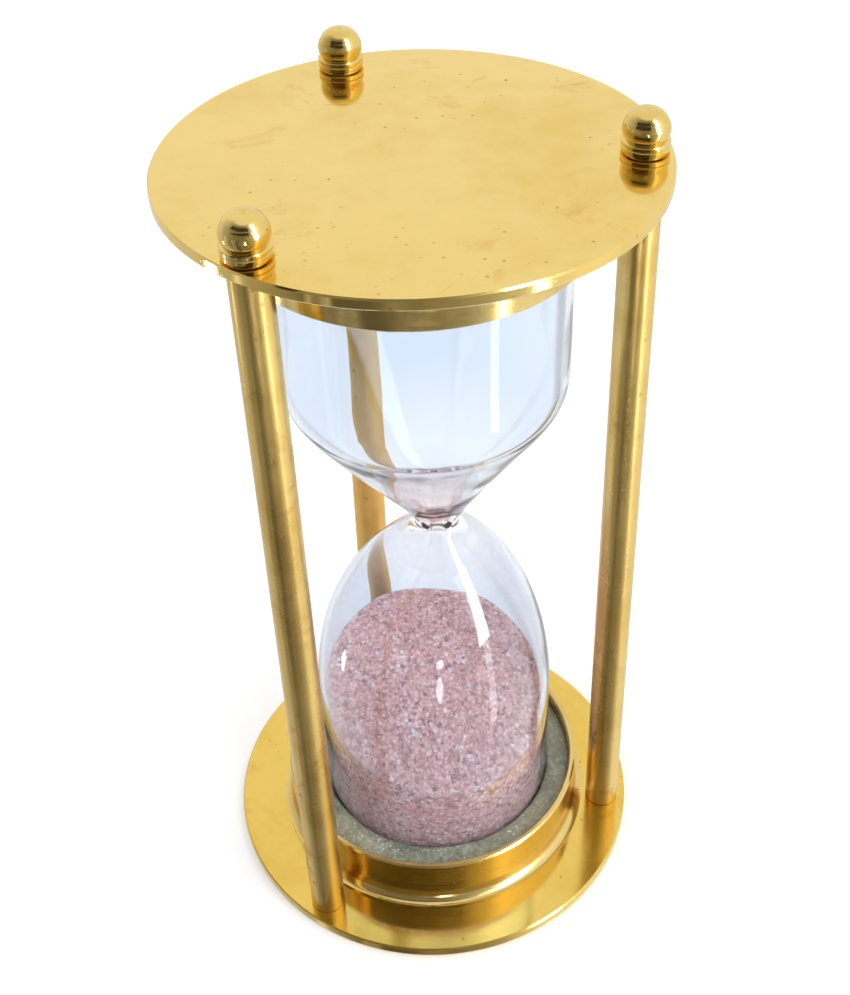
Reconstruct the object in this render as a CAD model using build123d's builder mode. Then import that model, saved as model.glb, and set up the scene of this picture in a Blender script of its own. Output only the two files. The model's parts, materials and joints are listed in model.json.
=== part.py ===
from build123d import *
import os
from math import atan2, cos, exp, radians, sin

# Brass sand timer: two discs held apart by three columns, with one blown glass
# seated in a brass collar at each end. Millimetres, +Z up. The origin is the
# centre of the base disc's underside.

os.makedirs("parts", exist_ok=True)

# ---------------------------------------------------------------- discs
plate_d = 76.2                 # both end discs
plate_t = 1.8
plate_edge = 0.25              # broken edge on each disc

# ---------------------------------------------------------------- columns
column_len = 138.1
column_d = 6.15
column_edge = 0.25
# The holes of the two discs don't quite line up, so two columns lean a little.
# Each entry is (radius from the axis, angle).
column_foot = {"front_left": (33.55, -127.4), "front_right": (33.5, -9.0), "back": (33.8, 108.8)}
column_head = {"front_left": (34.05, -130.0), "front_right": (33.9, -1.0), "back": (33.8, 108.8)}

# ---------------------------------------------------------------- fasteners
thread_d = 3.0                 # M3, modelled as plain cylinders
clear_d = 3.2                  # clearance hole in the discs
stud_in_column = 12.0
stud_in_finial = 4.2
screw_head_d = 6.0             # countersunk 90 degree head
screw_head_h = 1.5
screw_len = 11.0
screw_slot_w = 0.8
screw_slot_d = 0.6

# ---------------------------------------------------------------- finials
finial_h = 6.5
finial_band_r = 3.62
finial_foot_r = 3.15           # undercut where each finial meets its disc
finial_foot_h = 0.35
finial_ball_r = 3.55

# ---------------------------------------------------------------- collars
collar_wall = 1.2
lower_collar_r = 28.0
lower_collar_h = 10.0
upper_collar_r = 27.4
upper_collar_h = 10.6
collar_edge = 0.3
foot_flare = 1.6               # each collar turns outward where it meets its disc
foot_flare_h = 2.2
foot_lip_h = 0.45

# ---------------------------------------------------------------- glass
glass_x = 0.8                  # the blown glass sits a little to one side
cushion_t = 1.5
glass_wall = 1.0
neck_extra = 1.55              # the wall thickens towards the neck
glass_end_wall = 2.0
lower_bulb_r = 21.7
upper_bulb_r = 23.5
end_round = 4.0                # rounding of the closed ends
neck_z = 71.2
fill_hole_r = 3.0

# ---------------------------------------------------------------- packing
lower_packing_drop = 2.0       # packing stops this far below the lower rim
upper_packing_drop = 2.0
cushion_r = 20.5

# ---------------------------------------------------------------- sand
sand_gap = 0.06                # sand stands clear of the glass by this much
sand_level = 30.6              # height of the sand plane on the glass axis
sand_tilt = 17.0               # the sand lies higher at the back
sand_turn = 14.0               # and somewhat to the left
sand_mound = 2.6               # heap above that plane, at the middle

# ---------------------------------------------------------------- levels
z_base_top = plate_t
z_top_under = plate_t + column_len
z_top = z_top_under + plate_t
glass_z0 = z_base_top + cushion_t
glass_z1 = z_top_under - cushion_t



def polar(r, a):
    return (r * cos(radians(a)), r * sin(radians(a)))


foot_xy = {k: polar(*v) for k, v in column_foot.items()}
head_xy = {k: polar(*v) for k, v in column_head.items()}


def save(piece, label):
    piece.part.label = label
    export_step(piece.part, "parts/" + label + ".step")


# ================================================================ base disc
with BuildPart() as base_plate:
    with BuildSketch(Plane.XY):
        Circle(plate_d / 2)
    extrude(amount=plate_t)
    chamfer(base_plate.edges().filter_by(GeomType.CIRCLE), plate_edge)
    # holes for the screws, countersunk from below so that the heads lie flush
    for x, y in foot_xy.values():
        with BuildSketch(Plane.XY):
            with Locations((x, y)):
                Circle(clear_d / 2)
        extrude(amount=plate_t, mode=Mode.SUBTRACT)
        with BuildSketch(Plane.XY):
            with Locations((x, y)):
                Circle(screw_head_d / 2)
        with BuildSketch(Plane.XY.offset(screw_head_h)):
            with Locations((x, y)):
                Circle(thread_d / 2)
        loft(mode=Mode.SUBTRACT)
save(base_plate, "base_plate")

# ================================================================ top disc
with BuildPart() as top_plate:
    with BuildSketch(Plane.XY.offset(z_top_under)):
        Circle(plate_d / 2)
    extrude(amount=plate_t)
    chamfer(top_plate.edges().filter_by(GeomType.CIRCLE), plate_edge)
    with BuildSketch(Plane.XY.offset(z_top_under)):
        with Locations(*head_xy.values()):
            Circle(clear_d / 2)
    extrude(amount=plate_t, mode=Mode.SUBTRACT)
save(top_plate, "top_plate")

# ================================================================ collars
def collar_section(r, h):
    """Half section, foot at height 0: a straight wall on a short flared foot."""
    with BuildLine() as line:
        Polyline((r - collar_wall, 0), (r + foot_flare, 0), (r + foot_flare, foot_lip_h))
        ThreePointArc(
            (r + foot_flare, foot_lip_h),
            (r + foot_flare * 0.30, foot_lip_h + (foot_flare_h - foot_lip_h) * 0.30),
            (r, foot_flare_h),
        )
        Polyline(
            (r, foot_flare_h), (r, h - collar_edge), (r - collar_edge, h),
            (r - collar_wall + collar_edge, h), (r - collar_wall, h - collar_edge),
            (r - collar_wall, 0),
        )
    return line.wires()[0]


lower_section = collar_section(lower_collar_r, lower_collar_h)
upper_section = collar_section(upper_collar_r, upper_collar_h)

with BuildPart() as lower_collar:
    with BuildSketch(Plane(origin=(0, 0, z_base_top), x_dir=(1, 0, 0), z_dir=(0, -1, 0))):
        make_face(lower_section.edges())
    revolve(axis=Axis((0, 0, 0), (0, 0, 1)), revolution_arc=360)
save(lower_collar, "lower_collar")

with BuildPart() as upper_collar:
    # the same form upside down, its flared foot against the top disc
    with BuildSketch(Plane(origin=(0, 0, z_top_under), x_dir=(1, 0, 0), z_dir=(0, 1, 0))):
        make_face(upper_section.edges())
    revolve(axis=Axis((0, 0, 0), (0, 0, 1)), revolution_arc=360)
save(upper_collar, "upper_collar")

# ================================================================ packing rings
with BuildPart() as lower_packing_ring:
    with BuildSketch(Plane.XY.offset(z_base_top)):
        Circle(lower_collar_r - collar_wall)
    extrude(amount=lower_collar_h - lower_packing_drop)
    # the seat of the rounded glass end
    with BuildSketch(Plane.XY.offset(z_base_top)):
        with Locations((glass_x, 0)):
            Circle(lower_bulb_r)
    extrude(amount=lower_collar_h, mode=Mode.SUBTRACT)
save(lower_packing_ring, "lower_packing_ring")

with BuildPart() as upper_packing_ring:
    with BuildSketch(Plane.XY.offset(z_top_under - upper_collar_h + upper_packing_drop)):
        Circle(upper_collar_r - collar_wall)
    extrude(amount=upper_collar_h - upper_packing_drop)
    with BuildSketch(Plane.XY.offset(z_top_under - upper_collar_h)):
        with Locations((glass_x, 0)):
            Circle(upper_bulb_r)
    extrude(amount=upper_collar_h, mode=Mode.SUBTRACT)
save(upper_packing_ring, "upper_packing_ring")

# ================================================================ cushion discs
with BuildPart() as lower_cushion_disc:
    with BuildSketch(Plane.XY.offset(z_base_top)):
        with Locations((glass_x, 0)):
            Circle(cushion_r)
    extrude(amount=cushion_t)
save(lower_cushion_disc, "lower_cushion_disc")

with BuildPart() as upper_cushion_disc:
    with BuildSketch(Plane.XY.offset(glass_z1)):
        with Locations((glass_x, 0)):
            Circle(cushion_r)
    extrude(amount=cushion_t)
save(upper_cushion_disc, "upper_cushion_disc")

# ================================================================ glass
# Half section in the XZ plane through the glass axis, as (radius, height).
outer_mid = [
    (lower_bulb_r, 33.0), (21.2, 39.5), (20.1, 45.5), (18.2, 51.5), (15.5, 57.3),
    (12.1, 62.4), (8.7, 66.5), (5.5, 69.4), (3.85, neck_z),
    (4.35, 73.2), (6.3, 76.8), (9.6, 81.6), (13.7, 87.4), (18.0, 93.6),
    (21.6, 98.9), (23.0, 101.8), (upper_bulb_r, 105.5),
]


def inset(points, i):
    """A point of the inner surface: set in from the outer one, square to it."""
    r, z = points[i]
    t = 0.0
    if 0 < i < len(points) - 1:
        t = atan2(points[i + 1][0] - points[i - 1][0], points[i + 1][1] - points[i - 1][1])
    w = glass_wall + neck_extra * exp(-(((z - neck_z) / 4.0) ** 2))
    return (r - w * cos(t), z + w * sin(t))


inner_mid = [inset(outer_mid, i) for i in range(len(outer_mid))]


def at(r, z):
    return (glass_x + r, z)


with BuildPart() as glass_bulbs:
    with BuildSketch(Plane.XZ):
        with BuildLine():
            Line(at(0, glass_z0), at(lower_bulb_r - end_round, glass_z0))
            ThreePointArc(
                at(lower_bulb_r - end_round, glass_z0),
                at(lower_bulb_r - end_round * (1 - cos(radians(45))),
                   glass_z0 + end_round * (1 - sin(radians(45)))),
                at(lower_bulb_r, glass_z0 + end_round),
            )
            Line(at(lower_bulb_r, glass_z0 + end_round), at(*outer_mid[0]))
            Spline(*[at(r, z) for r, z in outer_mid], tangents=((0, 1), (0, 1)))
            Line(at(*outer_mid[-1]), at(upper_bulb_r, glass_z1 - end_round))
            ThreePointArc(
                at(upper_bulb_r, glass_z1 - end_round),
                at(upper_bulb_r - end_round * (1 - cos(radians(45))),
                   glass_z1 - end_round * (1 - sin(radians(45)))),
                at(upper_bulb_r - end_round, glass_z1),
            )
            Line(at(upper_bulb_r - end_round, glass_z1), at(0, glass_z1))
            Line(at(0, glass_z1), at(0, glass_z0))
        make_face()
    revolve(axis=Axis((glass_x, 0, 0), (0, 0, 1)), revolution_arc=360)
    # the hollow, with a rounded floor and ceiling
    ir0 = lower_bulb_r - glass_wall
    ir1 = upper_bulb_r - glass_wall
    er = end_round - glass_wall
    fz = glass_z0 + glass_end_wall
    cz = glass_z1 - glass_end_wall
    with BuildSketch(Plane.XZ):
        with BuildLine():
            Line(at(0, fz), at(ir0 - er, fz))
            ThreePointArc(
                at(ir0 - er, fz),
                at(ir0 - er * (1 - cos(radians(45))), fz + er * (1 - sin(radians(45)))),
                at(ir0, fz + er),
            )
            Line(at(ir0, fz + er), at(*inner_mid[0]))
            Spline(*[at(r, z) for r, z in inner_mid], tangents=((0, 1), (0, 1)))
            Line(at(*inner_mid[-1]), at(ir1, cz - er))
            ThreePointArc(
                at(ir1, cz - er),
                at(ir1 - er * (1 - cos(radians(45))), cz - er * (1 - sin(radians(45)))),
                at(ir1 - er, cz),
            )
            Line(at(ir1 - er, cz), at(0, cz))
            Line(at(0, cz), at(0, fz))
        make_face()
    revolve(axis=Axis((glass_x, 0, 0), (0, 0, 1)), revolution_arc=360, mode=Mode.SUBTRACT)
    # filling hole in the upper closed end
    with BuildSketch(Plane.XY.offset(cz - 1)):
        with Locations((glass_x, 0)):
            Circle(fill_hole_r)
    extrude(amount=glass_end_wall + 2, mode=Mode.SUBTRACT)
save(glass_bulbs, "glass_bulbs")

# ================================================================ filling plug
with BuildPart() as fill_plug:
    with BuildSketch(Plane.XY.offset(cz)):
        with Locations((glass_x, 0)):
            Circle(fill_hole_r)
    extrude(amount=glass_end_wall)
save(fill_plug, "fill_plug")

# ================================================================ sand
st, ct = sin(radians(sand_tilt)), cos(radians(sand_tilt))
sp, cp = sin(radians(sand_turn)), cos(radians(sand_turn))
sand_axis_dir = (st * sp, -st * cp, ct)
sand_side = [(r - sand_gap, z) for r, z in inner_mid[:4]]
with BuildPart() as sand:
    # fills the bulb's inner form up to well above the sand's surface
    with BuildSketch(Plane.XZ):
        with BuildLine():
            Line(at(0, fz + sand_gap), at(ir0 - er, fz + sand_gap))
            ThreePointArc(
                at(ir0 - er, fz + sand_gap),
                at(ir0 - er + (er - sand_gap) * sin(radians(45)),
                   fz + er - (er - sand_gap) * cos(radians(45))),
                at(ir0 - sand_gap, fz + er),
            )
            Line(at(ir0 - sand_gap, fz + er), at(*sand_side[0]))
            Spline(*[at(r, z) for r, z in sand_side], tangents=((0, 1), (-0.3, 1)))
            Line(at(*sand_side[-1]), at(0, sand_side[-1][1]))
            Line(at(0, sand_side[-1][1]), at(0, fz + sand_gap))
        make_face()
    revolve(axis=Axis((glass_x, 0, 0), (0, 0, 1)), revolution_arc=360)
    # tilted, slightly heaped top
    with BuildSketch(Plane(origin=(glass_x, 0, sand_level), x_dir=(cp, sp, 0),
                           z_dir=(ct * sp, -ct * cp, -st))):
        with BuildLine():
            Line((0, -40), (32, -40))
            Line((32, -40), (32, 0))
            Line((32, 0), (20, 0))
            Spline((20, 0), (10, sand_mound * 0.62), (0, sand_mound),
                   tangents=((-1, 0.12), (-1, 0)))
            Line((0, sand_mound), (0, -40))
        make_face()
    revolve(axis=Axis((glass_x, 0, sand_level), sand_axis_dir),
            revolution_arc=360, mode=Mode.INTERSECT)
save(sand, "sand")

# ================================================================ columns, finials, studs, screws
for side in column_foot:
    fx, fy = foot_xy[side]
    x, y = head_xy[side]

    with BuildPart() as column:
        # a rod along the line from hole to hole, longer than needed, cut flush with the discs
        lean = Vector(x - fx, y - fy, column_len).normalized()
        start = Vector(fx, fy, z_base_top) - lean * 2
        with BuildSketch(Plane(origin=start, z_dir=lean)):
            Circle(column_d / 2)
        extrude(amount=column_len + 6)
        with BuildSketch(Plane.XY.offset(z_base_top)):
            with Locations(((fx + x) / 2, (fy + y) / 2)):
                Rectangle(30, 30)
        extrude(amount=column_len, mode=Mode.INTERSECT)
        chamfer(column.edges().group_by(Axis.Z)[0] + column.edges().group_by(Axis.Z)[-1], column_edge)
        # tapped blind holes, one in each end
        with BuildSketch(Plane.XY.offset(z_base_top)):
            with Locations((fx, fy)):
                Circle(thread_d / 2)
        extrude(amount=screw_len - plate_t + 1.0, mode=Mode.SUBTRACT)
        with BuildSketch(Plane.XY.offset(z_top_under - stud_in_column - 1.0)):
            with Locations((x, y)):
                Circle(thread_d / 2)
        extrude(amount=stud_in_column + 1.0, mode=Mode.SUBTRACT)
    save(column, "column_" + side)

    with BuildPart() as finial:
        # turned nut: two bands at the foot, then a ball with a flattened crown
        with BuildSketch(Plane(origin=(x, y, z_top), x_dir=(1, 0, 0), z_dir=(0, -1, 0))):
            with BuildLine():
                Polyline((thread_d / 2, 0), (finial_foot_r, 0), (finial_foot_r, finial_foot_h - 0.1),
                         (finial_band_r - 0.12, finial_foot_h), (finial_band_r, finial_foot_h + 0.12),
                         (finial_band_r, 1.05), (finial_band_r - 0.16, 1.18),
                         (finial_band_r + 0.02, 1.31), (finial_band_r + 0.02, 1.75),
                         (finial_band_r - 0.12, 1.92), (3.12, 2.1))
                ThreePointArc((3.12, 2.1), (finial_ball_r, 3.55), (3.05, 5.1))
                ThreePointArc((3.05, 5.1), (2.35, 6.03), (1.25, finial_h))
                Polyline((1.25, finial_h), (0.55, finial_h), (0, finial_h - 0.3),
                         (0, stud_in_finial + 0.4), (thread_d / 2, stud_in_finial + 0.4),
                         (thread_d / 2, 0))
            make_face()
        revolve(axis=Axis((x, y, z_top), (0, 0, 1)), revolution_arc=360)
    save(finial, "finial_" + side)

    with BuildPart() as stud:
        with BuildSketch(Plane.XY.offset(z_top_under - stud_in_column)):
            with Locations((x, y)):
                Circle(thread_d / 2)
        extrude(amount=stud_in_column + plate_t + stud_in_finial)
        chamfer(stud.edges().filter_by(GeomType.CIRCLE), 0.3)
    save(stud, "stud_" + side)

    with BuildPart() as base_screw:
        with BuildSketch(Plane.XY):
            with Locations((fx, fy)):
                Circle(screw_head_d / 2)
        with BuildSketch(Plane.XY.offset(screw_head_h)):
            with Locations((fx, fy)):
                Circle(thread_d / 2)
        loft()
        with BuildSketch(Plane.XY.offset(screw_head_h)):
            with Locations((fx, fy)):
                Circle(thread_d / 2)
        extrude(amount=screw_len - screw_head_h)
        chamfer(base_screw.edges().group_by(Axis.Z)[-1], 0.3)
        with BuildSketch(Plane.XY):
            with Locations((fx, fy)):
                Rectangle(screw_head_d + 1, screw_slot_w)
        extrude(amount=screw_slot_d, mode=Mode.SUBTRACT)
    save(base_screw, "base_screw_" + side)
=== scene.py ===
import json
import math
import random

import bmesh
import bpy
import numpy as np
from mathutils import Matrix, Vector, noise

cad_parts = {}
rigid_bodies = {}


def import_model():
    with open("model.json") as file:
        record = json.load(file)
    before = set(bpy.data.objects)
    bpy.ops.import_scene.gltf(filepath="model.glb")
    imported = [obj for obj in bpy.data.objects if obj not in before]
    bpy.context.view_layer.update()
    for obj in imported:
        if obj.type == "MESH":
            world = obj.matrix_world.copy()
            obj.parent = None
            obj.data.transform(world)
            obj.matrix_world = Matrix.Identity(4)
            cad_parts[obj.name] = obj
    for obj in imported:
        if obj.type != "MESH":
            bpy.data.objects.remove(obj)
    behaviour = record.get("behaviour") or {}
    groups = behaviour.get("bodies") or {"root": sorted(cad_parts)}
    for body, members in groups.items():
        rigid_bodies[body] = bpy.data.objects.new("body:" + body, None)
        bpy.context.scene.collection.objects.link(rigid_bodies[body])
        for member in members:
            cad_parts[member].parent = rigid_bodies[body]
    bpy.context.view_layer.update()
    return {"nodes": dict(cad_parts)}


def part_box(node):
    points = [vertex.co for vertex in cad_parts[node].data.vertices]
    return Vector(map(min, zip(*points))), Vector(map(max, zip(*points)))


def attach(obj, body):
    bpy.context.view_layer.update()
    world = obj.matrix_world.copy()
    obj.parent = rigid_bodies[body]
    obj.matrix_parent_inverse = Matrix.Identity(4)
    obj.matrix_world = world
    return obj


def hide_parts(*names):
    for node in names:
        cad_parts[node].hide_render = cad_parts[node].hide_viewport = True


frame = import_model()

scene = bpy.context.scene
nodes = frame["nodes"]
rng = random.Random(18)
MM = 0.001

# ------------------------------------------------------------------ camera
# where the viewer stands: a fitted pinhole, in metres, with the base disc's underside at z = 0
CAM_POS = (0.0, -0.188435, 0.240312)
YAW, PITCH, ROLL = 0.0054, 0.6241, -0.0325
F_PX, CX, CY = 1451.385, 425.0, 363.0
fwd = Vector((math.sin(YAW) * math.cos(PITCH), math.cos(YAW) * math.cos(PITCH), -math.sin(PITCH)))
right0 = Vector((math.cos(YAW), -math.sin(YAW), 0.0))
up0 = right0.cross(fwd)
right = right0 * math.cos(ROLL) + up0 * math.sin(ROLL)
up = up0 * math.cos(ROLL) - right0 * math.sin(ROLL)
cam_data = bpy.data.cameras.new("camera")
cam = bpy.data.objects.new("camera", cam_data)
scene.collection.objects.link(cam)
rot = Matrix((right, up, -fwd)).transposed()
cam.matrix_world = Matrix.Translation(CAM_POS) @ rot.to_4x4()
cam_data.sensor_fit = "AUTO"
cam_data.sensor_width = 36.0
cam_data.lens = F_PX * 36.0 / 995.0
cam_data.shift_x = (425.0 - CX) / 995.0
cam_data.shift_y = (CY - 497.5) / 995.0
cam_data.clip_start = 0.01
cam_data.clip_end = 30.0
cam_data.dof.use_dof = False
scene.camera = cam
scene.view_settings.view_transform = "Standard"
scene.view_settings.look = "None"


# ------------------------------------------------------------------ node helpers
class Mat:
    """A small helper that builds one procedural material."""

    def __init__(self, name):
        self.m = bpy.data.materials.new(name)
        self.m.use_nodes = True
        self.nt = self.m.node_tree
        self.b = self.nt.nodes["Principled BSDF"]
        self.out = self.nt.nodes["Material Output"]
        self.co = self.nt.nodes.new("ShaderNodeTexCoord").outputs["Object"]

    def n(self, kind, **props):
        node = self.nt.nodes.new(kind)
        for k, v in props.items():
            setattr(node, k, v)
        return node

    def link(self, a, b):
        self.nt.links.new(a, b)

    def mapped(self, scale=(1, 1, 1), rot=(0, 0, 0), loc=(0, 0, 0), src=None):
        mp = self.n("ShaderNodeMapping")
        mp.inputs["Scale"].default_value = scale
        mp.inputs["Rotation"].default_value = rot
        mp.inputs["Location"].default_value = loc
        self.link(src or self.co, mp.inputs["Vector"])
        return mp.outputs["Vector"]

    def noise(self, scale, detail=4.0, rough=0.55, distort=0.0, vec=None):
        t = self.n("ShaderNodeTexNoise")
        t.inputs["Scale"].default_value = scale
        t.inputs["Detail"].default_value = detail
        t.inputs["Roughness"].default_value = rough
        t.inputs["Distortion"].default_value = distort
        self.link(vec or self.co, t.inputs["Vector"])
        return t.outputs["Fac"]

    def voronoi(self, scale, feature="F1", vec=None, rand=1.0):
        t = self.n("ShaderNodeTexVoronoi", feature=feature)
        t.inputs["Scale"].default_value = scale
        t.inputs["Randomness"].default_value = rand
        self.link(vec or self.co, t.inputs["Vector"])
        return t

    def ramp(self, fac, stops, interp="LINEAR"):
        r = self.n("ShaderNodeValToRGB")
        r.color_ramp.interpolation = interp
        els = r.color_ramp.elements
        while len(els) < len(stops):
            els.new(0.5)
        for e, (p, c) in zip(els, stops):
            e.position = p
            e.color = (*c, 1.0) if len(c) == 3 else c
        self.link(fac, r.inputs["Fac"])
        return r.outputs["Color"]

    def step(self, fac, lo, hi, a=0.0, b=1.0):
        r = self.n("ShaderNodeMapRange", clamp=True)
        r.inputs["From Min"].default_value = lo
        r.inputs["From Max"].default_value = hi
        r.inputs["To Min"].default_value = a
        r.inputs["To Max"].default_value = b
        self.link(fac, r.inputs["Value"])
        return r.outputs["Result"]

    def math(self, op, a, b):
        t = self.n("ShaderNodeMath", operation=op)
        for i, v in enumerate((a, b)):
            if isinstance(v, (int, float)):
                t.inputs[i].default_value = v
            else:
                self.link(v, t.inputs[i])
        return t.outputs[0]

    def mix(self, fac, a, b, blend="MIX"):
        t = self.n("ShaderNodeMix", data_type="RGBA", blend_type=blend)
        for i, v in ((0, fac), (6, a), (7, b)):
            if isinstance(v, (int, float)):
                t.inputs[i].default_value = v
            elif isinstance(v, (tuple, list)):
                t.inputs[i].default_value = (*v, 1.0)
            else:
                self.link(v, t.inputs[i])
        return t.outputs[2]

    def bump(self, height, distance, strength=1.0, normal=None):
        t = self.n("ShaderNodeBump")
        t.inputs["Distance"].default_value = distance
        t.inputs["Strength"].default_value = strength
        self.link(height, t.inputs["Height"])
        if normal is not None:
            self.link(normal, t.inputs["Normal"])
        return t.outputs["Normal"]


def lin(r, g, b):
    def c(v):
        v /= 255.0
        return v / 12.92 if v <= 0.04045 else ((v + 0.055) / 1.055) ** 2.4
    return (c(r), c(g), c(b))


def brass(name, pale, deep, tarnish, rough=(0.06, 0.16), grain=None, tarnish_amount=0.5,
          pit_scale=420.0, pit_cut=0.07, scratch=1.0):
    """Polished brass: cloudy tone, orange tarnish, pits, scratches and a tooling grain."""
    k = Mat(name)
    cloud = k.noise(32.0, 5.0, 0.6, 0.3)
    fine = k.noise(190.0, 6.0, 0.62)
    tone = k.math("ADD", k.math("MULTIPLY", cloud, 0.7), k.math("MULTIPLY", fine, 0.3))
    col = k.ramp(tone, [(0.36, deep), (0.52, pale), (0.68, tuple(min(1.0, c * 1.04) for c in pale))])
    # tarnish blotches, larger ones broken up by a finer noise
    big = k.noise(70.0, 7.0, 0.68, 0.6)
    patch = k.step(big, 0.60, 0.74, 0.0, tarnish_amount)
    col = k.mix(patch, col, tarnish)
    # pits and specks, clustered
    pit = k.voronoi(pit_scale)
    dots = k.step(pit.outputs["Distance"], pit_cut * 0.6, pit_cut * 1.6, 1.0, 0.0)
    cluster = k.step(k.noise(55.0, 3.0, 0.5, 0.2), 0.50, 0.66)
    dots = k.math("MULTIPLY", dots, cluster)
    col = k.mix(k.math("MULTIPLY", dots, 0.75), col, lin(92, 62, 22))
    # scratches at three angles
    marks = None
    for i, (ang, sc) in enumerate(((0.35, 1.0), (1.5, 0.8), (-0.7, 1.25))):
        v = k.mapped((26.0 * sc, 2600.0 * sc, 2600.0 * sc), (0.0, 0.0, ang), (i * 3.1, i, 0.0))
        s = k.step(k.noise(1.0, 2.0, 0.5, 0.0, v), 0.70, 0.80)
        marks = s if marks is None else k.math("MAXIMUM", marks, s)
    marks = k.math("MULTIPLY", marks, k.step(k.noise(24.0, 3.0, 0.5), 0.42, 0.62))
    r = k.step(k.noise(48.0, 6.0, 0.65, 0.4), 0.3, 0.72, rough[0], rough[1])
    r = k.math("ADD", r, k.math("MULTIPLY", marks, 0.16 * scratch))
    r = k.math("ADD", r, k.math("MULTIPLY", patch, 0.18))
    r = k.math("ADD", r, k.math("MULTIPLY", dots, 0.3))
    nrm = None
    if grain is not None:
        scale, depth = grain
        g = k.noise(1.0, 3.0, 0.6, 0.0, k.mapped(scale))
        nrm = k.bump(g, depth)
        r = k.math("ADD", r, k.step(g, 0.35, 0.75, 0.0, 0.07))
        col = k.mix(k.step(g, 0.52, 0.72, 0.0, 0.35), col, deep)
    soft = k.noise(26.0, 2.0, 0.4)          # the gentle waves of hand polishing
    nrm = k.bump(soft, 0.00022, 1.0, nrm)
    h = k.math("SUBTRACT", k.math("MULTIPLY", fine, 0.25), k.math("ADD", k.math("MULTIPLY", marks, 0.35 * scratch), dots))
    nrm = k.bump(h, 0.000022, 1.0, nrm)
    k.link(col, k.b.inputs["Base Color"])
    k.link(r, k.b.inputs["Roughness"])
    k.link(nrm, k.b.inputs["Normal"])
    k.b.inputs["Metallic"].default_value = 1.0
    return k.m


PALE = lin(240, 212, 136)
GOLD = lin(236, 198, 100)
DEEP = lin(222, 178, 82)
TARN = lin(196, 140, 58)

top_brass = brass("top_brass_polished", lin(243, 213, 130), lin(236, 202, 110), lin(222, 166, 84),
                  rough=(0.045, 0.12), tarnish_amount=0.85, pit_cut=0.10)
base_brass = brass("base_brass_polished", lin(238, 202, 104), lin(228, 188, 84), lin(202, 148, 62),
                   rough=(0.07, 0.17), tarnish_amount=0.5)
collar_brass = brass("collar_brass_turned", lin(230, 203, 132), lin(210, 180, 104), lin(168, 124, 64),
                     rough=(0.09, 0.2), grain=((60.0, 60.0, 2600.0), 0.000016), tarnish_amount=0.4)
column_brass = brass("column_brass_drawn", lin(230, 198, 120), lin(210, 170, 88), lin(156, 106, 46),
                     rough=(0.20, 0.36), grain=((900.0, 900.0, 9.0), 0.00003), tarnish_amount=0.75,
                     pit_scale=300.0, pit_cut=0.10)
finial_brass = brass("finial_brass_turned", lin(236, 208, 126), lin(222, 186, 98), lin(176, 126, 60),
                     rough=(0.05, 0.12), grain=((90.0, 90.0, 5200.0), 0.000006), tarnish_amount=0.4,
                     pit_scale=900.0, pit_cut=0.07)
screw_brass = brass("screw_brass_plain", lin(220, 186, 110), lin(190, 150, 76), lin(140, 96, 44),
                    rough=(0.2, 0.32), tarnish_amount=0.6)


def steel_mat():
    k = Mat("stud_steel")
    g = k.noise(1.0, 3.0, 0.6, 0.0, k.mapped((900.0, 900.0, 30.0)))
    k.link(k.ramp(g, [(0.3, lin(150, 150, 152)), (0.7, lin(196, 196, 198))]), k.b.inputs["Base Color"])
    k.link(k.step(g, 0.3, 0.7, 0.25, 0.45), k.b.inputs["Roughness"])
    # rolled thread
    w = k.n("ShaderNodeTexWave", bands_direction="Z")
    w.inputs["Scale"].default_value = 320.0
    w.inputs["Distortion"].default_value = 0.4
    k.link(k.co, w.inputs["Vector"])
    k.link(k.bump(w.outputs["Fac"], 0.00012), k.b.inputs["Normal"])
    k.b.inputs["Metallic"].default_value = 1.0
    return k.m


def packing_mat():
    k = Mat("packing_speckled")
    a = k.noise(260.0, 8.0, 0.7, 0.4)
    b = k.noise(1500.0, 4.0, 0.6)
    col = k.ramp(k.math("ADD", k.math("MULTIPLY", a, 0.55), k.math("MULTIPLY", b, 0.45)),
                 [(0.34, lin(84, 90, 75)), (0.48, lin(127, 133, 118)), (0.60, lin(165, 169, 154)),
                  (0.72, lin(194, 197, 181))])
    warm = k.step(k.noise(75.0, 3.0, 0.5), 0.45, 0.65, 0.0, 0.45)
    col = k.mix(warm, col, lin(160, 149, 118))
    # pale glitter flecks, whose white colour is also a painted glint standing in for their sparkle
    gl = k.voronoi(1150.0)
    glitter_and_glint = k.step(gl.outputs["Distance"], 0.10, 0.22, 1.0, 0.0)
    glitter_and_glint = k.math("MULTIPLY", glitter_and_glint, k.step(k.noise(120.0, 2.0, 0.5, 0.0, k.mapped(loc=(5, 2, 1))), 0.48, 0.6))
    col = k.mix(glitter_and_glint, col, lin(240, 240, 240))
    k.link(col, k.b.inputs["Base Color"])
    k.link(k.math("SUBTRACT", k.step(b, 0.3, 0.7, 0.62, 0.9), k.math("MULTIPLY", glitter_and_glint, 0.4)), k.b.inputs["Roughness"])
    k.link(k.bump(k.math("ADD", a, b), 0.00018), k.b.inputs["Normal"])
    return k.m


def felt_mat():
    k = Mat("cushion_felt")
    f = k.noise(1.0, 6.0, 0.7, 1.5, k.mapped((900.0, 700.0, 500.0)))
    k.link(k.ramp(f, [(0.3, lin(30, 46, 34)), (0.6, lin(58, 78, 58)), (0.75, lin(84, 100, 80))]), k.b.inputs["Base Color"])
    k.b.inputs["Roughness"].default_value = 0.95
    k.link(k.bump(f, 0.0003), k.b.inputs["Normal"])
    return k.m


def plug_mat():
    k = Mat("plug_rubber")
    f = k.noise(700.0, 5.0, 0.6)
    k.link(k.ramp(f, [(0.35, lin(52, 47, 42)), (0.65, lin(78, 70, 62))]), k.b.inputs["Base Color"])
    k.link(k.step(f, 0.3, 0.7, 0.55, 0.8), k.b.inputs["Roughness"])
    k.link(k.bump(f, 0.00008), k.b.inputs["Normal"])
    return k.m


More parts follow.
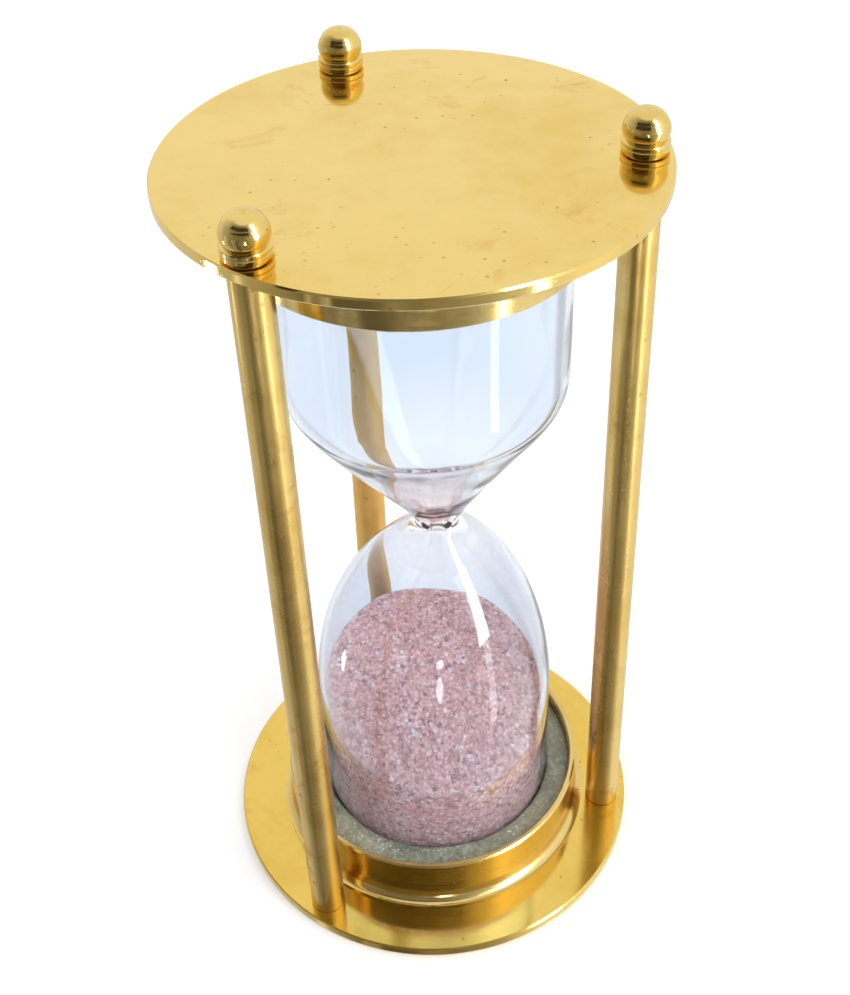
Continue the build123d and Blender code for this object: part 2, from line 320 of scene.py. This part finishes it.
def sand_mat(name="sand_grains", scale=1500.0):
    k = Mat(name)
    wob = k.noise(2600.0, 2.0, 0.5)
    v = k.voronoi(scale)
    sep = k.n("ShaderNodeSeparateColor")
    k.link(v.outputs["Color"], sep.inputs["Color"])
    pick = sep.outputs["Red"]
    col = k.ramp(pick, [(0.00, lin(166, 124, 118)), (0.10, lin(216, 164, 158)), (0.30, lin(245, 192, 185)),
                        (0.52, lin(252, 206, 201)), (0.72, lin(238, 186, 181)), (0.84, lin(252, 228, 226)),
                        (0.93, lin(252, 244, 246)), (0.97, lin(216, 154, 133))], "CONSTANT")
    col = k.mix(k.step(wob, 0.35, 0.7, 0.0, 0.45), col, lin(231, 181, 175))
    patch = k.step(k.noise(90.0, 5.0, 0.6), 0.42, 0.64, 0.0, 0.45)
    col = k.mix(patch, col, lin(226, 164, 153))
    # painted shade: darker towards the edge of each grain, where the gaps between grains lie in shade
    grain_gap_shade = k.step(v.outputs["Distance"], 0.42, 0.75, 0.0, 0.34)
    col = k.mix(grain_gap_shade, col, lin(150, 111, 113))
    k.link(col, k.b.inputs["Base Color"])
    glint = k.step(sep.outputs["Green"], 0.95, 0.96)
    k.link(k.step(glint, 0.0, 1.0, 0.72, 0.16), k.b.inputs["Roughness"])
    k.link(k.bump(k.math("SUBTRACT", k.math("MULTIPLY", wob, 0.3), v.outputs["Distance"]), 0.00022), k.b.inputs["Normal"])
    return k.m


def glass_mat():
    k = Mat("blown_glass")
    b = k.b
    b.inputs["Transmission Weight"].default_value = 1.0
    b.inputs["IOR"].default_value = 1.47
    tint = k.noise(22.0, 2.0, 0.4)
    col = k.ramp(tint, [(0.35, (0.770, 0.832, 0.918)), (0.65, (0.792, 0.846, 0.925))])
    # painted light: the tint is lifted towards clear round the neck, to offset the darkening where the light crosses
    # the wall many times
    sep = k.n("ShaderNodeSeparateXYZ")
    k.link(k.co, sep.inputs[0])
    neck = k.math("MULTIPLY", k.step(sep.outputs["Z"], 0.060, 0.068), k.step(sep.outputs["Z"], 0.082, 0.094, 1.0, 0.0))
    k.link(k.mix(neck, col, (0.955, 0.970, 0.985)), b.inputs["Base Color"])
    smear = k.noise(150.0, 5.0, 0.6, 0.5)
    k.link(k.step(smear, 0.60, 0.82, 0.0, 0.045), b.inputs["Roughness"])
    wave = k.noise(1.0, 2.0, 0.45, 0.4, k.mapped((48.0, 48.0, 30.0)))
    k.link(k.bump(wave, 0.00018), b.inputs["Normal"])
    tr = k.n("ShaderNodeBsdfTransparent")
    tr.inputs["Color"].default_value = (0.93, 0.955, 0.985, 1.0)
    lp = k.n("ShaderNodeLightPath")
    mx = k.n("ShaderNodeMixShader")
    k.link(lp.outputs["Is Shadow Ray"], mx.inputs[0])
    k.link(b.outputs[0], mx.inputs[1])
    k.link(tr.outputs[0], mx.inputs[2])
    k.link(mx.outputs[0], k.out.inputs["Surface"])
    return k.m


def floor_mat():
    k = Mat("floor_paper")
    f = k.noise(7.0, 5.0, 0.55)
    k.link(k.ramp(f, [(0.3, (0.90, 0.90, 0.90)), (0.7, (0.925, 0.925, 0.925))]), k.b.inputs["Base Color"])
    k.b.inputs["Roughness"].default_value = 0.9
    k.b.inputs["Specular IOR Level"].default_value = 0.1
    k.link(k.bump(k.noise(900.0, 3.0, 0.5), 0.00004), k.b.inputs["Normal"])
    return k.m


packing = packing_mat()
felt = felt_mat()
rubber = plug_mat()
steel = steel_mat()
sand_m = sand_mat()
glass_m = glass_mat()


def dress(prefixes, material):
    for name, ob in nodes.items():
        if any(name.startswith(p) for p in prefixes):
            ob.data.materials.clear()
            ob.data.materials.append(material)


dress(["top_plate"], top_brass)
dress(["base_plate"], base_brass)
dress(["lower_collar", "upper_collar"], collar_brass)
dress(["column_"], column_brass)
# painted shade: the back column gets a darker, rougher, less metallic copy of the column brass, standing in for the
# shade it sits in
back_column_shaded_brass = brass("column_back_shaded_brass", lin(230, 184, 100), lin(212, 158, 74), lin(168, 108, 46),
                   rough=(0.34, 0.5), grain=((900.0, 900.0, 9.0), 0.00003), tarnish_amount=0.75,
                   pit_scale=300.0, pit_cut=0.10)
back_column_shaded_brass.node_tree.nodes["Principled BSDF"].inputs["Metallic"].default_value = 0.65
dress(["column_back"], back_column_shaded_brass)
dress(["finial_"], finial_brass)
dress(["base_screw_"], screw_brass)
dress(["stud_"], steel)
dress(["lower_cushion", "upper_cushion"], felt)
dress(["fill_plug"], rubber)
dress(["lower_packing", "upper_packing"], packing)
dress(["sand"], sand_m)
dress(["glass_bulbs"], glass_m)


# ------------------------------------------------------------------ mesh helpers
def make_object(name, verts, faces, material, smooth=True):
    me = bpy.data.meshes.new(name)
    me.from_pydata([tuple(v) for v in verts], [], faces)
    me.validate()
    me.update()
    ob = bpy.data.objects.new(name, me)
    scene.collection.objects.link(ob)
    me.materials.append(material)
    if smooth:
        me.polygons.foreach_set("use_smooth", [True] * len(me.polygons))
    bm = bmesh.new()
    bm.from_mesh(me)
    bmesh.ops.recalc_face_normals(bm, faces=bm.faces)
    bm.to_mesh(me)
    bm.free()
    return ob


def hermite(points, per_span, t0, t1):
    """A smooth line through (r, z) points, with given end tangents, by centripetal spacing."""
    p = np.array(points, float)
    d = np.sqrt(np.linalg.norm(np.diff(p, axis=0), axis=1))
    t = np.concatenate([[0], np.cumsum(d)])
    m = np.zeros_like(p)
    for i in range(1, len(p) - 1):
        a = (p[i] - p[i - 1]) / (t[i] - t[i - 1])
        b = (p[i + 1] - p[i]) / (t[i + 1] - t[i])
        wa, wb = t[i + 1] - t[i], t[i] - t[i - 1]
        m[i] = (a * wa + b * wb) / (wa + wb)
    speed0 = np.linalg.norm(p[1] - p[0]) / (t[1] - t[0])
    speed1 = np.linalg.norm(p[-1] - p[-2]) / (t[-1] - t[-2])
    m[0] = np.array(t0) * speed0
    m[-1] = np.array(t1) * speed1
    out = []
    for i in range(len(p) - 1):
        h = t[i + 1] - t[i]
        for j in range(per_span):
            s = j / per_span
            h00 = 2 * s**3 - 3 * s**2 + 1
            h10 = s**3 - 2 * s**2 + s
            h01 = -2 * s**3 + 3 * s**2
            h11 = s**3 - s**2
            out.append(h00 * p[i] + h10 * h * m[i] + h01 * p[i + 1] + h11 * h * m[i + 1])
    out.append(p[-1])
    return [tuple(v) for v in out]


# ------------------------------------------------------------------ glass
GX = 0.8
lo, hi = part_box("glass_bulbs")
Z0, Z1 = lo.z / MM, hi.z / MM            # ends of the glass, mm
RL, RU, WALL, END_WALL, ROUND, HOLE = 21.7, 23.5, 1.0, 2.0, 4.0, 3.0
NECK_Z, NECK_EXTRA = 71.2, 1.55
outer_mid = [(RL, 33.0), (21.2, 39.5), (20.1, 45.5), (18.2, 51.5), (15.5, 57.3), (12.1, 62.4), (8.7, 66.5), (5.5, 69.4),
             (3.85, NECK_Z), (4.35, 73.2), (6.3, 76.8), (9.6, 81.6), (13.7, 87.4), (18.0, 93.6), (21.6, 98.9), (23.0, 101.8),
             (RU, 105.5)]


def inset(points, i):
    """A point of the inner wall, square to the outer one; the wall is thicker at the neck."""
    r, z = points[i]
    t = 0.0
    if 0 < i < len(points) - 1:
        t = math.atan2(points[i + 1][0] - points[i - 1][0], points[i + 1][1] - points[i - 1][1])
    w = WALL + NECK_EXTRA * math.exp(-((z - NECK_Z) / 4.0) ** 2)
    return (r - w * math.cos(t), z + w * math.sin(t))


inner_mid = [inset(outer_mid, i) for i in range(len(outer_mid))]


def arc(cx, cz, r, a0, a1, n):
    return [(cx + r * math.cos(math.radians(a0 + (a1 - a0) * i / n)),
             cz + r * math.sin(math.radians(a0 + (a1 - a0) * i / n))) for i in range(n + 1)]


def spread(a, b, n):
    return [(a[0] + (b[0] - a[0]) * i / n, a[1] + (b[1] - a[1]) * i / n) for i in range(n + 1)]


def wall(radius_low, radius_up, z_low, z_up, rnd, mid, hole):
    pts = spread((0.6, z_low), (radius_low - rnd, z_low), 10)
    pts += arc(radius_low - rnd, z_low + rnd, rnd, -90, 0, 8)[1:]
    pts += spread((radius_low, z_low + rnd), mid[0], 14)[1:]
    pts += hermite(mid, 7, (0, 1), (0, 1))[1:]
    pts += spread(mid[-1], (radius_up, z_up - rnd), 14)[1:]
    pts += arc(radius_up - rnd, z_up - rnd, rnd, 0, 90, 8)[1:]
    pts += spread((radius_up - rnd, z_up), (hole, z_up), 10)[1:]
    return pts


def blown(x, y, z, side):
    """Moves a point of the glass as hand blowing does: the neck stands to one side and the walls ripple a little."""
    neck = math.exp(-((z - 71.0) / 15.0) ** 2)
    free = min(1.0, max(0.0, (z - 14.0) / 12.0)) * min(1.0, max(0.0, (126.0 - z) / 10.0))
    r = math.hypot(x, y)
    if r > 1e-6:
        q = noise.noise(Vector((x * 0.055 + side * 7.0, y * 0.055, z * 0.045)))
        k = 1.0 + free * 0.09 * q / max(r, 3.0)
        x, y = x * k, y * k
    return x + 1.35 * neck, y, z


def lathe_closed(name, profile, seg, material, shape):
    verts, faces = [], []
    n = len(profile)
    for i in range(seg):
        a = 2 * math.pi * i / seg
        for j, (r, z, side) in enumerate(profile):
            x, y, zz = shape(r * math.cos(a), r * math.sin(a), z, side)
            verts.append(((GX + x) * MM, y * MM, zz * MM))
    for i in range(seg):
        k = (i + 1) % seg
        for j in range(n - 1):
            faces.append((i * n + j, k * n + j, k * n + j + 1, i * n + j + 1))
    # close the two ends of the profile, which lie near the axis
    for j, z in ((0, profile[0][1]), (n - 1, profile[-1][1])):
        c = len(verts)
        verts.append((GX * MM, 0.0, z * MM))
        for i in range(seg):
            faces.append((c, i * n + j, ((i + 1) % seg) * n + j))
    return make_object(name, verts, faces, material)


outer = wall(RL, RU, Z0, Z1, ROUND, outer_mid, HOLE)
inner = wall(RL - WALL, RU - WALL, Z0 + END_WALL, Z1 - END_WALL, ROUND - WALL, inner_mid, HOLE)
profile = [(r, z, 0) for r, z in outer] + [(HOLE, Z1 - END_WALL * 0.5, 0)] + [(r, z, 1) for r, z in reversed(inner)]
glass = lathe_closed("glass_blown", profile, 144, glass_m, blown)
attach(glass, "root")
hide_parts("glass_bulbs")

# ------------------------------------------------------------------ sand
s_lo, s_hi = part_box("sand")
SZ0 = s_lo.z / MM
SR = (s_hi.x - s_lo.x) / MM / 2 - 0.03
LEVEL, TILT, TURN, MOUND = 30.6, math.radians(17.0), math.radians(14.0), 2.6


def bulb_r(z):
    """The sand's radius at a height: the bulb narrows above its straight part."""
    return SR - max(0.0, float(np.interp(z, [p[1] for p in inner_mid[:6]], [inner_mid[0][0] - p[0] for p in inner_mid[:6]])))




def sand_top(x, y):
    """Height of the sand at a point measured from the glass axis: a heap on a tilted plane, in mm."""
    d = math.hypot(x, y)
    k = min(1.0, d / 20.0)
    heap = MOUND * (1.0 - k * k * (1.7 - 0.7 * k))
    uphill = y * math.cos(TURN) - x * math.sin(TURN)
    z = LEVEL + uphill * math.tan(TILT) + heap * 0.97
    z += 0.35 * noise.noise(Vector((x * 0.16, y * 0.16, 3.0)))
    return z - 0.25


def grain(p, size):
    d = noise.voronoi(Vector((p[0] / size, p[1] / size, p[2] / size)))[0]
    return max(0.0, 1.0 - d[0] * 1.15)


verts, faces = [], []
SEG, RINGS = 300, 58
verts.append((0.0, 0.0, sand_top(0, 0)))
for i in range(1, RINGS + 1):
    r = SR * i / RINGS
    for j in range(SEG):
        a = 2 * math.pi * (j + 0.5 * (i % 2)) / SEG
        wob = 0.0 if i == RINGS else 0.10
        rr = r + wob * noise.noise(Vector((j * 1.7, i * 2.3, 0.0)))
        x, y = rr * math.cos(a), rr * math.sin(a)
        z = sand_top(x, y)
        k = bulb_r(z) / SR
        x, y = x * k, y * k
        if i < RINGS:
            z += 0.42 * (grain((x, y, z), 0.75) - 0.35)
        verts.append((x, y, z))
for j in range(SEG):
    faces.append((0, 1 + j, 1 + (j + 1) % SEG))
for i in range(1, RINGS):
    for j in range(SEG):
        a, b = 1 + (i - 1) * SEG, 1 + i * SEG
        k = (j + 1) % SEG
        faces.append((a + j, b + j, b + k, a + k))
# the side wall, down to the rounded foot
FOOT = 2.6
rim = 1 + (RINGS - 1) * SEG
last = rim
ROWS = 64
for i in range(1, ROWS + 1):
    start = len(verts)
    for j in range(SEG):
        a = 2 * math.pi * (j + 0.5 * (RINGS % 2)) / SEG
        x0, y0, z0 = verts[rim + j]
        zb = SZ0 + FOOT
        t = i / ROWS
        z = z0 + (zb - z0) * t
        p = (SR * math.cos(a), SR * math.sin(a), z)
        r = bulb_r(z) - 0.14 * (1.0 - grain(p, 0.75)) * min(1.0, t * 8) - 0.01
        verts.append((r * math.cos(a), r * math.sin(a), z))
    for j in range(SEG):
        k = (j + 1) % SEG
        faces.append((last + j, start + j, start + k, last + k))
    last = start
for i in range(1, 7):
    start = len(verts)
    th = math.radians(90.0 * i / 6)
    for j in range(SEG):
        a = 2 * math.pi * (j + 0.5 * (RINGS % 2)) / SEG
        r = SR - 0.1 - FOOT + FOOT * math.cos(th)
        verts.append((r * math.cos(a), r * math.sin(a), SZ0 + FOOT - FOOT * math.sin(th)))
    for j in range(SEG):
        k = (j + 1) % SEG
        faces.append((last + j, start + j, start + k, last + k))
    last = start
c = len(verts)
verts.append((0.0, 0.0, SZ0))
for j in range(SEG):
    faces.append((last + j, c, last + (j + 1) % SEG))
verts = [((x + GX) * MM, y * MM, z * MM) for x, y, z in verts]
sand_body = make_object("sand_bed", verts, faces, sand_m, smooth=True)
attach(sand_body, "root")
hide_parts("sand")

# loose grains on the heap, each a small uneven pebble
ico = bmesh.new()
bmesh.ops.create_icosphere(ico, subdivisions=1, radius=1.0)
ico_v = [v.co.copy() for v in ico.verts]
ico_f = [[v.index for v in f.verts] for f in ico.faces]
ico.free()
gv, gf = [], []
for _ in range(3000):
    d = (SR - 0.6) * math.sqrt(rng.random())
    a = 2 * math.pi * rng.random()
    x, y = d * math.cos(a), d * math.sin(a)
    if d > bulb_r(sand_top(x, y)) - 0.7:
        continue
    size = 0.20 + 0.20 * rng.random() ** 1.5
    z = sand_top(x, y) + 0.10
    rot3 = Matrix.Rotation(rng.random() * 6.28, 3, Vector((rng.random() - 0.5, rng.random() - 0.5, rng.random() - 0.5)).normalized())
    sc = Vector((0.75 + 0.5 * rng.random(), 0.75 + 0.5 * rng.random(), 0.6 + 0.4 * rng.random())) * size
    base = len(gv)
    for v in ico_v:
        w = rot3 @ Vector((v.x * sc.x, v.y * sc.y, v.z * sc.z)) * (0.88 + 0.24 * rng.random())
        gv.append(((GX + x + w.x) * MM, (y + w.y) * MM, (z + w.z) * MM))
    gf += [[base + i for i in f] for f in ico_f]
grains = make_object("sand_loose_grains", gv, gf, sand_m, smooth=False)
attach(grains, "root")


# ------------------------------------------------------------------ packing rings
def packing_ring(name, node, glass_r, up):
    """A lumpy ring of filling between the glass and its collar. Its open face looks up or down."""
    b_lo, b_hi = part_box(node)
    ro = (b_hi.x - b_lo.x) / MM / 2 - 0.02
    ri = glass_r + 0.10
    z_face, z_back = (b_hi.z / MM, b_lo.z / MM) if up else (b_lo.z / MM, b_hi.z / MM)
    sgn = 1.0 if up else -1.0
    seg, rings = 340, 14
    vs, fs = [], []

    def pt(a, t, z):
        cxx = GX * (1 - t)
        r = ri + (ro - ri) * t
        return (cxx + r * math.cos(a), r * math.sin(a), z)

    rows = []
    for i in range(rings + 1):
        t = i / rings
        row = []
        for j in range(seg):
            a = 2 * math.pi * j / seg
            x, y, z = pt(a, t, z_face)
            dip = 0.25 + 0.35 * (1 - math.sin(math.pi * min(1.0, max(0.0, t))) ** 0.6)
            lump = 0.30 * noise.noise(Vector((x * 0.45, y * 0.45, 1.0))) + 0.22 * (grain((x, y, 0.0), 0.8) - 0.4)
            z -= sgn * max(0.02, dip - lump)
            row.append(len(vs))
            vs.append((x, y, z))
        rows.append(row)
    inner_back, outer_back = [], []
    for j in range(seg):
        a = 2 * math.pi * j / seg
        inner_back.append(len(vs)); vs.append(pt(a, 0.0, z_back + sgn * 0.02))
    for j in range(seg):
        a = 2 * math.pi * j / seg
        outer_back.append(len(vs)); vs.append(pt(a, 1.0, z_back + sgn * 0.02))
    strips = [inner_back] + rows + [outer_back, inner_back]
    for p, q in zip(strips, strips[1:]):
        for j in range(seg):
            k = (j + 1) % seg
            fs.append((p[j], q[j], q[k], p[k]))
    vs = [(x * MM, y * MM, z * MM) for x, y, z in vs]
    ob = make_object(name, vs, fs, packing)
    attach(ob, "root")
    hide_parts(node)
    return ob


packing_ring("packing_lower", "lower_packing_ring", RL, True)
packing_ring("packing_upper", "upper_packing_ring", RU, False)


# ------------------------------------------------------------------ floor, light and reflection cards
def plane(name, corners, material):
    me = bpy.data.meshes.new(name)
    me.from_pydata(corners, [], [tuple(range(len(corners)))])
    me.materials.append(material)
    ob = bpy.data.objects.new(name, me)
    scene.collection.objects.link(ob)
    return ob


floor = plane("floor", [(-6, -6, -0.0001), (6, -6, -0.0001), (6, 6, -0.0001), (-6, 6, -0.0001)], floor_mat())
floor.visible_glossy = False        # what mirrors see below the horizon is the room card instead


def dark_mat(name, c):
    k = Mat(name)
    f = k.noise(9.0, 4.0, 0.6)
    k.link(k.ramp(f, [(0.3, tuple(v * 0.6 for v in c)), (0.7, tuple(min(1, v * 1.4) for v in c))]), k.b.inputs["Base Color"])
    k.b.inputs["Roughness"].default_value = 1.0
    k.b.inputs["Specular IOR Level"].default_value = 0.0
    return k.m


card_m = dark_mat("card_dark", (0.035, 0.033, 0.028))


def card(name, corners, material=None):
    """A card that only mirrors see, to give the brass something dark to reflect."""
    ob = plane(name, corners, material or card_m)
    ob.visible_camera = False
    ob.visible_diffuse = False
    ob.visible_transmission = False
    ob.visible_shadow = False
    ob.visible_volume_scatter = False
    return ob


def panel(name, az0, az1, dist, z0, z1, lean, material, n=12, oval=False):
    """An upright curved card round the object; azimuth 0 is towards the viewer, positive to the right."""
    lower, upper = [], []
    for i in range(n + 1):
        a = math.radians(az0 + (az1 - az0) * i / n)
        k = 1.0 if not oval else max(0.04, math.sin(math.pi * i / n) ** 0.6)
        zm, zh = (z0 + z1) / 2, (z1 - z0) / 2 * k
        lower.append((dist * math.sin(a), -dist * math.cos(a), zm - zh))
        upper.append(((dist + lean) * math.sin(a), -(dist + lean) * math.cos(a), zm + zh))
    me = bpy.data.meshes.new(name)
    me.from_pydata(lower + upper, [], [(i, i + 1, n + 2 + i, n + 1 + i) for i in range(n)])
    me.materials.append(material)
    ob = bpy.data.objects.new(name, me)
    scene.collection.objects.link(ob)
    ob.visible_camera = False
    ob.visible_diffuse = False
    ob.visible_transmission = False
    ob.visible_shadow = False
    return ob


def glow_mat(name, strength):
    k = Mat(name)
    f = k.noise(3.0, 2.0, 0.4)
    k.b.inputs["Base Color"].default_value = (0, 0, 0, 1)
    k.link(k.ramp(f, [(0.3, (0.92, 0.96, 1.0)), (0.7, (1.0, 1.0, 1.0))]), k.b.inputs["Emission Color"])
    # full strength in a first reflection only, so that brass mirrored in brass doesn't burn out
    lp = k.n("ShaderNodeLightPath")
    k.link(k.step(lp.outputs["Glossy Depth"], 1.4, 1.6, strength, 1.6), k.b.inputs["Emission Strength"])
    return k.m


def room_mat():
    """The room as polished metal sees it: brightness by direction, softly varied."""
    k = Mat("room_card")
    sep = k.n("ShaderNodeSeparateXYZ")
    k.link(k.co, sep.inputs[0])
    az = k.math("ARCTAN2", sep.outputs["X"], k.math("MULTIPLY", sep.outputs["Y"], -1.0))
    cloud = k.noise(1.3, 3.0, 0.5)
    t = k.math("ADD", k.step(az, -math.pi, math.pi), k.step(cloud, 0.3, 0.7, -0.02, 0.02))

    def table(rows):
        return [((a + 180.0) / 360.0, (v * (1.0 if v > 0.3 else 1.05), v, v * (1.0 if v > 0.3 else 0.9))) for a, v in rows]

    low = k.ramp(t, table([(-178, 0.78), (-128, 0.74), (-97, 0.64), (-82, 0.50), (-79, 1.05), (-75, 0.46), (-60, 0.32),
                           (-50, 0.16), (-46, 0.55), (-43, 0.18), (-38, 0.50), (-34, 0.12), (-22, 0.13), (-8, 0.28),
                           (4, 0.20), (20, 0.30), (34, 0.46), (53, 0.76), (73, 1.08), (97, 0.98), (128, 0.88), (178, 0.78)]))
    high = k.ramp(t, table([(-178, 0.96), (-140, 0.95), (-112, 0.72), (-90, 0.52), (-70, 0.38), (-48, 0.25), (-20, 0.20),
                            (6, 0.22), (18, 0.32), (32, 0.48), (46, 0.80), (62, 1.30), (82, 1.05), (110, 0.97), (178, 0.96)]))
    z = k.math("MULTIPLY", sep.outputs["Z"], 1.0 / ROOM_R)
    col = k.mix(k.step(z, -0.02, 0.12), low, high)
    col = k.mix(k.step(z, 0.86, 0.95), col, (0.93, 0.94, 0.96))
    k.b.inputs["Base Color"].default_value = (0, 0, 0, 1)
    k.b.inputs["Specular IOR Level"].default_value = 0.0
    k.link(col, k.b.inputs["Emission Color"])
    k.b.inputs["Emission Strength"].default_value = 1.0
    return k.m


ROOM_R = 2.2


def room():
    nu, nv = 48, 24
    pts, faces = [(0, 0, ROOM_R)], []
    for j in range(1, nv):
        th = math.pi * j / nv
        for i in range(nu):
            ph = 2 * math.pi * i / nu
            pts.append((ROOM_R * math.sin(th) * math.cos(ph), ROOM_R * math.sin(th) * math.sin(ph), ROOM_R * math.cos(th)))
    pts.append((0, 0, -ROOM_R))
    last = len(pts) - 1
    for i in range(nu):
        k = (i + 1) % nu
        faces.append((0, 1 + k, 1 + i))
        for j in range(nv - 2):
            a, b = 1 + j * nu, 1 + (j + 1) * nu
            faces.append((a + i, a + k, b + k, b + i))
        faces.append((last, 1 + (nv - 2) * nu + i, 1 + (nv - 2) * nu + k))
    me = bpy.data.meshes.new("card_room")
    me.from_pydata(pts, [], faces)
    me.materials.append(room_mat())
    ob = bpy.data.objects.new("card_room", me)
    scene.collection.objects.link(ob)
    ob.visible_camera = False
    ob.visible_diffuse = False
    ob.visible_transmission = False
    ob.visible_shadow = False


room()
# someone holding a camera close above the object, as the lower collar sees it
panel("card_person", -64, 21, 0.215, 0.235, 0.40, 0.05, card_m)
# windows
window_m = glow_mat("window_glow", 20.0)
low_m = glow_mat("window_glow_low", 5.0)
lamp_m = glow_mat("lamp_glow", 13.0)
panel("card_window", 46, 60, 0.70, 0.02, 1.05, 0.0, window_m)
panel("card_window_low", 50, 57, 0.70, -0.45, 0.02, 0.0, low_m)
panel("card_lamp", 0.5, 8.0, 0.60, 0.030, 0.072, 0.0, lamp_m, oval=True)
panel("card_lamp_low", 1.0, 7.5, 0.60, -0.15, -0.005, 0.0, lamp_m, oval=True)
panel("card_window_left", -98, -92, 0.60, -0.26, -0.15, 0.0, lamp_m, oval=True)

world = bpy.data.worlds.new("studio")
scene.world = world
world.use_nodes = True
wn = world.node_tree
bg = wn.nodes["Background"]
tc = wn.nodes.new("ShaderNodeTexCoord")
sp = wn.nodes.new("ShaderNodeSeparateXYZ")
rp = wn.nodes.new("ShaderNodeValToRGB")
wn.links.new(tc.outputs["Generated"], sp.inputs[0])
mr = wn.nodes.new("ShaderNodeMapRange")
mr.inputs["From Min"].default_value = -1.0
wn.links.new(sp.outputs["Z"], mr.inputs["Value"])
wn.links.new(mr.outputs["Result"], rp.inputs["Fac"])
els = rp.color_ramp.elements
els[0].position = 0.5
els[0].color = (0.97, 0.98, 1.0, 1)
els[1].position = 0.75
els[1].color = (1.0, 1.0, 1.0, 1)
wn.links.new(rp.outputs["Color"], bg.inputs["Color"])
bg.inputs["Strength"].default_value = 1.1


def area(name, loc, target, sx, sy, power, color=(1, 1, 1)):
    d = bpy.data.lights.new(name, "AREA")
    d.shape = "RECTANGLE"
    d.size, d.size_y, d.energy, d.color = sx, sy, power, color
    ob = bpy.data.objects.new(name, d)
    scene.collection.objects.link(ob)
    ob.location = loc
    ob.rotation_euler = (Vector(target) - Vector(loc)).to_track_quat("-Z", "Y").to_euler()
    return ob


area("window_right", (0.62, -0.45, 0.50), (0, 0, 0.08), 0.35, 0.70, 2.2, (1.0, 0.99, 0.98))
area("softbox_left", (-0.75, -0.55, 1.05), (0, 0, 0.05), 1.0, 0.8, 2.5)
area("softbox_back", (0.2, 0.8, 0.9), (0, 0, 0.05), 0.8, 0.6, 1.5)
for ob in list(scene.objects):
    if ob.type == "LIGHT":
        ob.visible_glossy = False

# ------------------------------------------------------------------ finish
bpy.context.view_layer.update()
